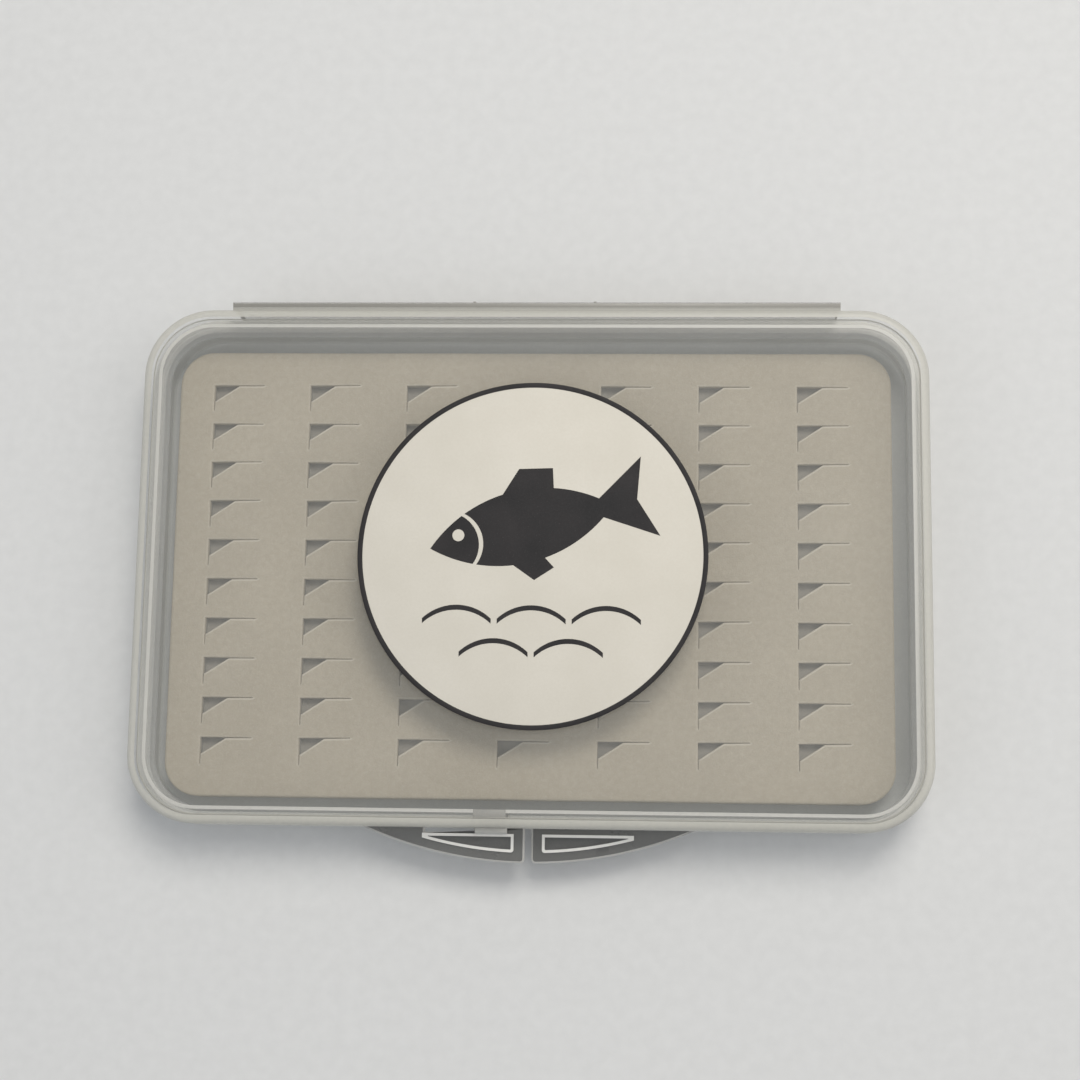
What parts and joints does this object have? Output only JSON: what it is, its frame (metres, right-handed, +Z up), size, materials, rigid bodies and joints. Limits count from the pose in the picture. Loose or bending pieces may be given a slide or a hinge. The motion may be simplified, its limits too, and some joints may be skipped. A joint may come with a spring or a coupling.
{
  "type": "fly box",
  "caption": "Slim hinged translucent box with a slotted foam bed for fishing flies, thumb tabs at the front, a snap latch and a round label on the lid.",
  "frame": {"origin": "on the underside, below the middle of the whole outline, thumb tabs and hinge ribs included", "axes": "+X to the right along the hinge, +Y from the thumb tabs to the hinge, +Z up through the lid"},
  "size_m": [0.1444, 0.103, 0.0162],
  "materials": {
    "clear_plastic": "satin",
    "eva_foam": "matte",
    "adhesive": "matte",
    "label_paper": "satin",
    "black_ink": "satin"
  },
  "bodies": {
    "base": {"base_tray": "clear_plastic", "base_seal_rim": "clear_plastic", "base_latch_lug": "clear_plastic", "base_thumb_tab": "clear_plastic", "foam_adhesive": "adhesive", "foam_bed": "eva_foam", "hinge_film_lower": "clear_plastic"},
    "hinge": {"hinge_spine": "clear_plastic", "hinge_film_upper": "clear_plastic"},
    "lid": {"lid_shell": "clear_plastic", "lid_seal_lip": "clear_plastic", "lid_latch_block": "clear_plastic", "lid_thumb_tab": "clear_plastic", "label_adhesive": "adhesive", "label_film": "label_paper", "label_border": "black_ink", "label_artwork": "black_ink"}
  },
  "joints": [
    {"name": "lower_fold", "type": "hinge", "parent": "base", "child": "hinge", "pos_m": [0, 0.04977, 0.0018], "axis": [-1, 0, 0], "range_deg": [0, 90], "deforming": ["hinge_film_lower"]},
    {"name": "upper_fold", "type": "hinge", "parent": "hinge", "child": "lid", "pos_m": [0, 0.04977, 0.0144], "axis": [-1, 0, 0], "range_deg": [0, 90], "deforming": ["hinge_film_upper"]}
  ],
  "couplings": [
    {"joint": "upper_fold", "follows": "lower_fold", "ratio": 1}
  ]
}
